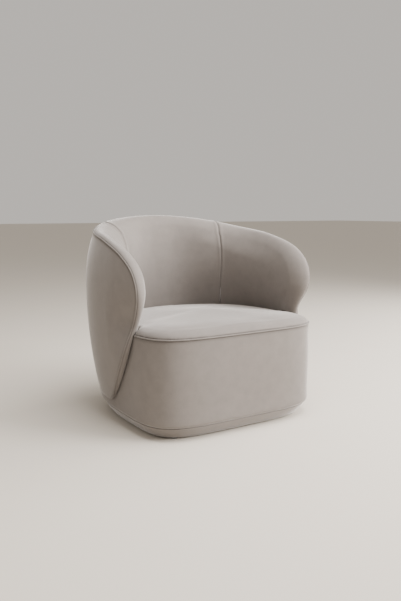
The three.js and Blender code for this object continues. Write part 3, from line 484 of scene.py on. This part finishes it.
def ring_angles(count):
    """Plan angles round the base, closer together at its corners."""
    fine = np.linspace(0, 2 * math.pi, RING_FINE)
    reach = base_radius(fine)
    steps = np.diff(np.stack([reach * np.cos(fine), reach * np.sin(fine)], axis=1), axis=0)
    heading = np.unwrap(np.arctan2(steps[:, 1], steps[:, 0]))
    cost = np.cumsum(np.linalg.norm(steps, axis=1) + CORNER_WEIGHT * np.abs(np.gradient(heading)))
    cost = np.concatenate([[0], cost])
    return np.interp(np.linspace(0, cost[-1], count, endpoint=False), cost, fine)


def ring_loops(front, back):
    """Loops round the base: down its front profile of (inset, z) and back up its hidden one."""
    inset, z = np.array(front + back[::-1], dtype=float).T
    theta = ring_angles(RING_COUNT)[:, None]
    return on_plan(theta, base_radius(theta, inset), z)


# Plinth: a lip on its top, a side that leans in from head to foot, a bend there and a hem under it
PLINTH_TOP = GLIDE + PLINTH
PLINTH_LIP_INSET, PLINTH_LIP_FRONT, PLINTH_LIP_BACK = 22, 0.2, 0.05
PLINTH_HEAD_INSET, PLINTH_FOOT_INSET, PLINTH_BULGE, PLINTH_STEPS = 8, 38, 1.5, 10
PLINTH_TOE, PLINTH_BEND, PLINTH_HEM, PLINTH_HEM_BACK = 3, (1.2, 0.9), (4, 26), (7, 26)


def make_plinth():
    foot = PLINTH_FOOT_INSET
    side = []
    for z in np.linspace(PLINTH_TOP, GLIDE + PLINTH_TOE, PLINTH_STEPS):
        up = between(z, GLIDE, PLINTH_TOP)
        side.append((mix(foot, PLINTH_HEAD_INSET, up) - PLINTH_BULGE * math.sin(math.pi * up), z))
    side.append((foot + PLINTH_BEND[0], GLIDE + PLINTH_BEND[1]))
    front = [(PLINTH_LIP_INSET, PLINTH_TOP + PLINTH_LIP_FRONT)] + side
    front += [(foot + inset, GLIDE) for inset in PLINTH_HEM]
    back = [(PLINTH_LIP_INSET, PLINTH_TOP + PLINTH_LIP_BACK)] + [(inset + FABRIC, z) for inset, z in side]
    back += [(foot + inset, GLIDE + FABRIC) for inset in PLINTH_HEM_BACK]
    piece = lofted("plinth_velvet", ring_loops(front, back), closed=True)
    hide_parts("plinth_cover")


# Base: its cloth comes over the deck's edge, bulges a little and folds in over the plinth
BASE_BOTTOM = PLINTH_TOP + GAP
BASE_FLANGE, BASE_HEM = 48, 24
BASE_EDGE, BASE_LOW = [(5, DECK), (1.6, DECK - 0.8)], [(0.1, 92), (-0.4, 80)]
SIDE_INSET, SIDE_TOP, SIDE_FOOT, SIDE_BULGE, SIDE_STEPS = 0.3, DECK - 4, 104, 1.6, 26
FOLD_INSET, FOLD_RADIUS, FOLD_TURN, FOLD_STEPS = -0.6, 15, -82, 12
# Reach in mm of the painted shade along the deck's edge and at the fold over the plinth
BASE_EDGE_SHADE_REACH, BASE_FOLD_SHADE_REACH = 3.4, 3


def make_base():
    side = []
    for down in np.linspace(0, 1, SIDE_STEPS):
        inset = SIDE_INSET - SIDE_BULGE * math.sin(math.pi * down) ** 2
        side.append((inset, mix(SIDE_TOP, SIDE_FOOT, down)))
    side += BASE_LOW
    for turn in np.radians(np.linspace(0, FOLD_TURN, FOLD_STEPS)):
        inset = FOLD_INSET + FOLD_RADIUS - FOLD_RADIUS * math.cos(turn)
        side.append((inset, BASE_BOTTOM + FOLD_RADIUS + FOLD_RADIUS * math.sin(turn)))
    front = [(BASE_FLANGE, DECK)] + BASE_EDGE + side + [(BASE_HEM, BASE_BOTTOM)]
    low, high = BASE_BOTTOM + FABRIC, DECK - FABRIC
    back = [(max(inset, 0) + FABRIC + 1, min(max(z, low), high)) for inset, z in BASE_EDGE + side]
    loops = ring_loops(front, [(BASE_FLANGE, high)] + back + [(BASE_HEM, low)])
    z = loops[..., 2]
    # Painted shade: the base's colour is darkened along the deck's edge and the bottom fold
    crease_shade = np.maximum(gauss_falloff(z - DECK, BASE_EDGE_SHADE_REACH), gauss_falloff(z - BASE_BOTTOM, BASE_FOLD_SHADE_REACH))
    piece = lofted("base_velvet", loops, closed=True, crease_shade=crease_shade)
    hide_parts("base_cover", "base_padding")


# Seat: crowned, round at its front edge, tucked against the wrap behind. The two ranges of y are where its
# edge passes from the base's plan to the wrap's, and from its front height to its rear one; SEAT_BLEND is the
# power that blends the two limits of the crown.
SEAT_CENTRE, SEAT_FRONT, SEAT_REAR, SEAT_CURVE = 411, 397, 391, 0.9
SEAT_FRONT_ROUND, SEAT_REAR_ROUND = 50, 16
SEAT_LIP, SEAT_TUCK, SEAT_FIT, SEAT_HELD, SEAT_SWELL = 6, 5, 2.6, 2, 7
SEAT_TURN_Y, SEAT_LEVEL_Y = (-222, -190), (-250, -100)
SEAT_COUNT, SEAT_RINGS, SEAT_ROUND_STEPS, SEAT_BLEND = 480, 44, 12, 9.0
# Strength and reach in mm of the painted shade at the seat's lower lip
SEAT_SHADE, SEAT_SHADE_REACH = 0.35, 2.6
SEAT_WELT_END_Y, SEAT_WELT_PROUD, SEAT_WELT_RISE, SEAT_WELT_COUNT = -216, 1.2, 2.5, 900


def seat_grid():
    """Points from the middle of the seat over its edge and under it: (count, path, 3)."""
    theta = ring_angles(SEAT_COUNT)[:, None]
    base, inner = base_radius(theta), inner_radius(theta, DECK)
    y = PLAN_CENTRE_Y + base * np.sin(theta)
    behind = smooth(between(y, *SEAT_TURN_Y))
    radius = mix(base, np.minimum(base, inner - SEAT_FIT), behind)
    edge_round = mix(SEAT_FRONT_ROUND, SEAT_REAR_ROUND, behind)
    edge_z = mix(SEAT_FRONT, SEAT_REAR, smooth(between(y, *SEAT_LEVEL_Y)))
    limits = (inner - SEAT_REAR_ROUND, base - SEAT_FRONT_ROUND)
    limit = sum(reach**-SEAT_BLEND for reach in limits) ** (-1 / SEAT_BLEND)

    def crowned(reach):
        return mix(SEAT_CENTRE, edge_z, smooth(reach / limit) ** SEAT_CURVE)

    top_end = radius - edge_round
    reach = np.linspace(0, 1, SEAT_RINGS)[None] * top_end
    top = on_plan(theta, reach, crowned(reach))
    turn = np.linspace(0, math.pi / 2, SEAT_ROUND_STEPS)[None, 1:]
    lip = DECK + SEAT_LIP
    side_z = lip + (crowned(top_end) - lip) * np.cos(turn)
    side = on_plan(theta, top_end + edge_round * np.sin(turn), side_z)
    tuck = on_plan(theta, radius - SEAT_TUCK, DECK + GAP)
    return np.concatenate([top, side, tuck], axis=1)


# The seat's simulation, in metres
VOXEL, PRESSURE, CLOTH_MASS, CLOTH_QUALITY, CLOTH_FRAMES, EVENING_ROUNDS = 0.006, 4.0, 0.2, 4, 20, 60


def inflate(piece, held_below, cap):
    """Blow the piece up as cloth from inside: what is below held_below stays, no point moves past cap."""
    remesh = piece.modifiers.new("remesh", "REMESH")
    remesh.mode = "VOXEL"
    remesh.voxel_size = VOXEL
    settled(piece)
    start = points_of(piece.data)
    held = piece.vertex_groups.new(name="held")
    held.add([int(i) for i in np.nonzero(start[:, 2] < held_below)[0]], 1.0, "REPLACE")
    cloth = piece.modifiers.new("cloth", "CLOTH")
    cloth.settings.quality = CLOTH_QUALITY
    cloth.settings.mass = CLOTH_MASS
    cloth.settings.use_pressure = True
    cloth.settings.uniform_pressure_force = PRESSURE
    cloth.settings.vertex_group_mass = "held"
    cloth.settings.effector_weights.gravity = 0
    cloth.point_cache.frame_start, cloth.point_cache.frame_end = 1, CLOTH_FRAMES
    for step in range(1, CLOTH_FRAMES + 1):
        bpy.context.scene.frame_set(step)
    settled(piece)
    bpy.context.scene.frame_set(1)
    moved = points_of(piece.data) - start
    size = np.linalg.norm(moved, axis=1, keepdims=True)
    moved *= cap * np.tanh(size / cap) / np.maximum(size, 1e-9)
    moved = evened(piece.data, moved)
    piece.data.vertices.foreach_set("co", (start + moved).ravel())
    piece.vertex_groups.clear()
    subdivide = piece.modifiers.new("subdivide", "SUBSURF")
    subdivide.levels = 1
    settled(piece)


def settled(piece):
    """Put the result of the piece's modifiers into its mesh."""
    graph = bpy.context.evaluated_depsgraph_get()
    result = bpy.data.meshes.new_from_object(piece.evaluated_get(graph))
    result.polygons.foreach_set("use_smooth", [True] * len(result.polygons))
    piece.modifiers.clear()
    piece.data = result


def points_of(mesh):
    points = np.empty(len(mesh.vertices) * 3)
    mesh.vertices.foreach_get("co", points)
    return points.reshape(-1, 3)


def evened(mesh, values):
    """Values at the points of a mesh, averaged with their neighbours so that no wrinkle is left."""
    ends = np.empty(len(mesh.edges) * 2, dtype=int)
    mesh.edges.foreach_get("vertices", ends)
    ends = ends.reshape(-1, 2)
    count = np.bincount(ends.ravel(), minlength=len(values))[:, None]
    for _ in range(EVENING_ROUNDS):
        total = np.zeros_like(values)
        for a, b in ((0, 1), (1, 0)):
            for axis in range(3):
                total[:, axis] += np.bincount(ends[:, a], values[ends[:, b], axis], len(values))
        values = (values + total / count) / 2
    return values


def make_seat():
    grid = seat_grid()
    count, rows = grid.shape[0], grid.shape[1] - 1
    vertices = np.concatenate([grid[:, 1:].reshape(-1, 3), grid[:1, 0], [[0, PLAN_CENTRE_Y, DECK + GAP]]])
    hub, floor = count * rows, count * rows + 1
    faces = []
    for i in range(count):
        here, there = i * rows, (i + 1) % count * rows
        faces.append((hub, here, there))
        faces += [(here + k, here + k + 1, there + k + 1, there + k) for k in range(rows - 1)]
        faces.append((here + rows - 1, floor, there + rows - 1))
    piece = add_object("seat_cushion", vertices, faces, CLOTH)
    face_out(piece)
    inflate(piece, (DECK + SEAT_LIP + SEAT_HELD) * MM, SEAT_SWELL * MM)
    height = points_of(piece.data)[:, 2] / MM
    # Painted shade: the seat's colour is darkened along its lower lip, where it meets the base
    set_crease_shade(piece.data, SEAT_SHADE * gauss_falloff(height - DECK - SEAT_LIP, SEAT_SHADE_REACH))
    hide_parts("seat_cover", "seat_foam_pad")
    theta = ring_angles(SEAT_WELT_COUNT)
    theta = theta[PLAN_CENTRE_Y + base_radius(theta) * np.sin(theta) < SEAT_WELT_END_Y]
    welt = on_plan(theta, base_radius(theta) + SEAT_WELT_PROUD, DECK + SEAT_WELT_RISE)
    piece = piping("seat_piping", welt)
    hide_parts("seat_welt")


# Wrap: rolled inner panels, outer panels and the welt between them. A row of an inner panel runs in EDGE
# steps up to the crest of the roll and down its inner side, and in DOWN steps to the seat.
EDGE, DOWN = np.linspace(0, 1, 12), np.linspace(0, 1, 60)
EDGE_POINTS = 2 * len(EDGE) - 1
FINE_SHARES = np.linspace(0, 1, 4001)
ARM_SHARES = np.linspace(0, SEAM, 300)
BACK_SHARES = np.linspace(SEAM, 1 - SEAM, 320)
WELT_SHARES = np.linspace(0, 1, 1400)
PANELS = {"arm_right": ARM_SHARES, "back": BACK_SHARES, "arm_left": 1 - ARM_SHARES[::-1]}
SOLE = DECK + GAP + BOARD + GAP

# Swelling of the padding: PUFF over each panel, and the pillow by plan angle and height above the deck
PUFF = 7
PILLOW_ARM, PILLOW_CORNER, PILLOW_BACK = 18, 54, 12
PILLOW_CORNER_ANGLES, PILLOW_BACK_ANGLES = (-15, 35), (50, 85)
PILLOW_RUN, PILLOW_CURVE, PILLOW_HEIGHTS = 140, 1.5, (20, 280)

# Seams: how far they bow towards the arm fronts, and their dip with a soft shoulder on each side; the dip
# fades out at both ends of a row, by share of its points
SEAM_BOW, SEAM_REACH, EDGE_SHARE = 72, 220, 0.22
BOW_CURVE, BOW_START = 0.8, 0.24
SEAM_DIP, SEAM_WIDTH = 3.8, 2.9
SHOULDER, SHOULDER_GAP, SHOULDER_WIDTH = 1.3, 12, 8
FADE_EDGE, FADE_FOOT = 0.06, 0.04
# Painted shade in the creases: its reach at the welt edge, its strength and reach at the seams, and where it
# starts along a row
EDGE_SHADE_REACH, SEAM_SHADE, SEAM_SHADE_REACH, SEAM_SHADE_START = 2.2, 0.5, 2.6, 12


def softness(share, down):
    """How far a panel puffs out in the middle, by share of the outline and of the way down."""
    along = np.minimum(share, 1 - share)
    arm = np.sin(math.pi * np.clip(between(along, FULL_ROLL, SEAM), 0, 1))
    back = np.sin(math.pi * np.clip(between(share, SEAM, 1 - SEAM), 0, 1))
    return PUFF * np.where(along < SEAM, arm, back) * np.sin(math.pi * down)


def pillow(grid):
    """How far the padding swells inward: most at the rear corners, nothing at the crest and the seat."""
    angle = np.degrees(np.arctan2(grid[..., 1] - PLAN_CENTRE_Y, np.abs(grid[..., 0])))
    most = mix(PILLOW_ARM, PILLOW_CORNER, smooth(between(angle, *PILLOW_CORNER_ANGLES)))
    most = mix(most, PILLOW_BACK, smooth(between(angle, *PILLOW_BACK_ANGLES)))
    run = np.zeros(grid.shape[:2])
    run[:, len(EDGE) - 1 :] = run_of(grid[:, len(EDGE) - 1 :])
    grown = np.sin(math.pi / 2 * np.clip(run / PILLOW_RUN, 0, 1)) ** PILLOW_CURVE
    above = np.clip(between(grid[..., 2] - DECK, *PILLOW_HEIGHTS), 0, 1)
    return most * grown * np.sin(math.pi / 2 * above)


def plain_roll(share, inset):
    """Points over the rolled edge and down the inner face, without swelling or bow: (share, path, 3)."""
    spot = [row[:, None] for row in mirrored_station(share)]
    above = smooth((spot[1] - DECK - ROLL_START) / ROLL_RISE)
    grown = np.clip(1 - (DECK + ROLL_START - spot[1]) / TUCK_TURN, 0, 1)
    drop = mix(TIP_FALL, FALL, grown)
    fall = past(spot, -drop)
    depth = wrap_radius(*fall) - inner_surface(*fall, above)
    full = wrap_radius(spot[0], spot[1]) - inner_radius(spot[0], spot[1])
    crown_depth = np.minimum(CREST_SHARE * full, depth / 2)
    crown = mix(TIP_CROWN, CROWN, np.clip((depth - TIP_DEPTH) / TIP_DEPTH, 0, 1))
    turn = mix(np.arcsin(WELT_ROOM / crown), math.pi / 2, EDGE[None])
    deep = crown_depth - (crown_depth - inset) * np.cos(turn)
    rise = (crown - inset) * np.sin(turn)
    turn = EDGE[None, 1:] * math.pi / 2
    deep = np.concatenate([deep, crown_depth + (depth - crown_depth - inset) * np.sin(turn)], axis=1)
    rise = np.concatenate([rise, (crown + drop - inset) * np.cos(turn) - drop], axis=1)
    theta, z = past(spot, rise)
    thinner = depth - wrap_radius(theta, z) + inner_surface(theta, z, above)
    edge = on_plan(theta, wrap_radius(theta, z) - deep + thinner * (deep / depth) ** 2, z)
    foot_theta = foot_angle(share[:, None], ARM_FOOT, FULL_ROLL)
    low = past(spot, -(drop + TUCK))
    hem = (low[0], low[1] - TUCK_DROP * grown)
    sole = [mix(mix(fall[i], hem[i], SOLE_TUCK), (foot_theta, SOLE)[i], above) for i in (0, 1)]
    foot = [mix(hem[i], (foot_theta, DECK + GAP)[i], above) for i in (0, 1)]
    theta, z = (mix(fall[i], sole[i], DOWN[None, 1:]) for i in (0, 1))
    face = on_plan(theta, inner_surface(theta, z, above) + inset, z)
    end = on_plan(foot[0], inner_surface(foot[0], foot[1], above) + inset, foot[1])
    return np.concatenate([edge, face, end], axis=1)


def roll_grid(share, inset=0.0):
    """Points of a soft inner panel: (share, path, 3). Near a seam the rows bow towards the arm fronts."""
    path = np.concatenate([np.linspace(0, EDGE_SHARE, EDGE_POINTS), mix(EDGE_SHARE, 1, DOWN[1:]), [1]])
    near = smooth(1 - seam_gap(share) / SEAM_REACH)
    bent = SEAM_BOW * np.sin(math.pi * path**BOW_CURVE) * smooth(path / BOW_START) / OUTLINE_LENGTH
    followed = share[:, None] + np.where(share > 0.5, 1, -1)[:, None] * near * bent

    def bowed(values):
        columns = [np.interp(followed[:, k], FINE_SHARES, values[:, k]) for k in range(len(path))]
        return np.stack(columns, axis=1)

    plain = plain_roll(FINE_SHARES, inset)
    grid = np.stack([bowed(plain[..., axis]) for axis in range(3)], axis=-1)
    push = bowed(pillow(plain))
    _, z, _, _ = mirrored_station(share)
    above = smooth((z[:, None] - DECK - ROLL_START) / ROLL_RISE)
    push[:, EDGE_POINTS:-1] += above * softness(share[:, None], DOWN[None, 1:])
    spoke = grid[..., :2] - np.array([0.0, PLAN_CENTRE_Y])
    grid[..., :2] -= push[..., None] * spoke / np.linalg.norm(spoke, axis=-1, keepdims=True)
    return grid


def seam_gap(share):
    """Distance of each row from the nearest seam, along the outline."""
    return np.abs(np.minimum(share, 1 - share) - SEAM)[:, None] * OUTLINE_LENGTH


def make_inner(name, shares):
    front, back = roll_grid(shares), roll_grid(shares, FABRIC)
    gap, run = seam_gap(shares), run_of(front)
    shoulder = SHOULDER * np.exp(-(((gap - SHOULDER_GAP) / SHOULDER_WIDTH) ** 2))
    path = np.linspace(0, 1, front.shape[1])[None]
    fade = smooth(path / FADE_EDGE) * smooth((1 - path) / FADE_FOOT)
    relief = (shoulder - SEAM_DIP * np.exp(-gap / SEAM_WIDTH)) * fade
    # Painted shade: the colour is darkened along the welt edge and the seams
    seam_shade = SEAM_SHADE * gauss_falloff(gap, SEAM_SHADE_REACH) * smooth(run / SEAM_SHADE_START)
    crease_shade = np.maximum(gauss_falloff(run, EDGE_SHADE_REACH), seam_shade)
    front = front + inward_normals(front) * relief[..., None]
    piece = panel(f"inner_{name}_velvet", front, back, crease_shade)
    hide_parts(f"inner_{name}_cover", f"{name}_foam")


OUTER_STEPS, SHELF_STEPS, HEM_STEPS = 70, 8, 6
HEM, HEM_BACK = 3.0, 0.5
OUTER_SEAM_DIP, OUTER_SEAM_WIDTH, OUTER_EDGE_DIP, OUTER_EDGE_WIDTH = 1.6, 3, 1.4, 4
# Reach in mm of the painted shade at the welt edge and at the seams of the outer panels
OUTER_EDGE_SHADE_REACH, OUTER_SEAM_SHADE_REACH = 3, 2


def make_outer(name, shares):
    spot = [row[:, None] for row in mirrored_station(shares)]
    top = past(spot, -WELT_ROOM)
    shelf = past(spot, -np.minimum(RIM_FOAM + CLEAR, (spot[1] - WRAP_BOTTOM) / 2 + GAP))
    bottom = (foot_angle(shares[:, None], TIP_FOOT, 0), WRAP_BOTTOM)
    near = np.linspace(0, 1, SHELF_STEPS)[None, :-1]
    down = np.linspace(0, 1, OUTER_STEPS)[None]
    theta, z = (
        np.concatenate([mix(top[i], shelf[i], near), mix(shelf[i], bottom[i], down)], axis=1)
        for i in (0, 1)
    )
    out = wrap_radius(theta, z)
    hem = HEM * (1 - np.cos(np.linspace(0, math.pi / 2, HEM_STEPS)[None, 1:]))
    low_theta, low_out, low_z = theta[:, -1:], out[:, -1:], z[:, -1:]
    front_hem = on_plan(low_theta, low_out - hem, low_z)
    back_hem = on_plan(low_theta, low_out - FABRIC - hem - HEM_BACK, low_z + FABRIC)
    front = np.concatenate([on_plan(theta, out, z), front_hem], axis=1)
    back = np.concatenate([on_plan(theta, out - FABRIC, z), back_hem], axis=1)
    run, gap = run_of(front), seam_gap(shares)
    seam_dip = OUTER_SEAM_DIP * np.exp(-gap / OUTER_SEAM_WIDTH)
    dip = np.maximum(seam_dip, OUTER_EDGE_DIP * gauss_falloff(run, OUTER_EDGE_WIDTH))
    # Painted shade: the outer panels' colour is darkened along the welt edge and the seams
    crease_shade = np.maximum(gauss_falloff(run, OUTER_EDGE_SHADE_REACH), gauss_falloff(gap, OUTER_SEAM_SHADE_REACH))
    front = front + inward_normals(front) * dip[..., None]
    piece = panel(f"outer_{name}_velvet", front, back, crease_shade)
    extra = ["skirt_foam"] if name == "back" else []
    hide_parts(f"outer_{name}_cover", *extra)


def make_wrap():
    for name, shares in PANELS.items():
        make_inner(name, shares)
        make_outer(name, shares)
    theta, z, _, _ = mirrored_station(WELT_SHARES)
    piece = piping("wrap_piping", on_plan(theta, wrap_radius(theta, z) + WELT_PROUD, z))
    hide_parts("wrap_welt")


make_plinth()
make_base()
make_seat()
make_wrap()

# Stage in metres: pale floor, soft light, and the camera at the photograph's angle
FLOOR_COLOUR, FLOOR_REACH = (0.66, 0.61, 0.54), 40
LAMP_COLOUR = (1.0, 0.97, 0.94)
LAMPS = {
    "key": ((2.5, -2.65, 1.6), 250, (2.0, 2.0)),
    "side": ((3.5, -0.4, 1.9), 180, (2.8, 2.2)),
    "fill": ((-3.2, -0.6, 1.4), 4, (2.4, 2.4)),
    "top": ((0.15, -0.95, 3.0), 125, (2.0, 2.0)),
}
CHAIR_CENTRE = Vector((0, 0, 0.4))
SKY_COLOUR, SKY_STRENGTH = (1.0, 0.94, 0.87, 1), 0.64
CAMERA_PLACE, LENS, SENSOR = (-1.36306, -2.22421, 0.80604), 38.18, 36
AZIMUTH, ELEVATION = math.radians(-32.239), math.radians(7.957)


def make_floor():
    n = Nodes("floor", FLOOR_COLOUR)
    faint = n.noise(3, detail=2, roughness=0.5)
    tone = n.ramp(faint, [(0.2, shade(FLOOR_COLOUR, 0.985)), (0.8, FLOOR_COLOUR)])
    matt = n.finish(tone, 0.8, Specular_IOR_Level=0.1)
    corners = np.array([(-1, -1, 0), (1, -1, 0), (1, 1, 0), (-1, 1, 0)]) * FLOOR_REACH / MM
    piece = add_object("floor", corners, [(0, 1, 2, 3)], matt, slot=None)


def make_lamp(name, place, power, size):
    light = bpy.data.lights.new(name, "AREA")
    light.energy = power
    light.shape = "RECTANGLE"
    light.size, light.size_y = size
    light.color = LAMP_COLOUR
    lamp = bpy.data.objects.new(name, light)
    lamp.location = place
    lamp.rotation_euler = (CHAIR_CENTRE - Vector(place)).to_track_quat("-Z", "Y").to_euler()
    bpy.context.scene.collection.objects.link(lamp)


def make_sky():
    world = bpy.data.worlds.new("studio")
    bpy.context.scene.world = world
    world.use_nodes = True
    background = world.node_tree.nodes["Background"]
    background.inputs["Color"].default_value = SKY_COLOUR
    background.inputs["Strength"].default_value = SKY_STRENGTH


def make_camera():
    data = bpy.data.cameras.new("photo_camera")
    data.sensor_fit = "AUTO"
    data.sensor_width = SENSOR
    data.lens = LENS
    camera = bpy.data.objects.new("photo_camera", data)
    level = math.cos(ELEVATION)
    back = Vector((math.sin(AZIMUTH) * level, -math.cos(AZIMUTH) * level, math.sin(ELEVATION)))
    camera.rotation_euler = back.to_track_quat("Z", "Y").to_euler()
    camera.location = CAMERA_PLACE
    bpy.context.scene.collection.objects.link(camera)
    bpy.context.scene.camera = camera


make_floor()
for lamp_name, settings in LAMPS.items():
    make_lamp(lamp_name, *settings)
make_sky()
make_camera()
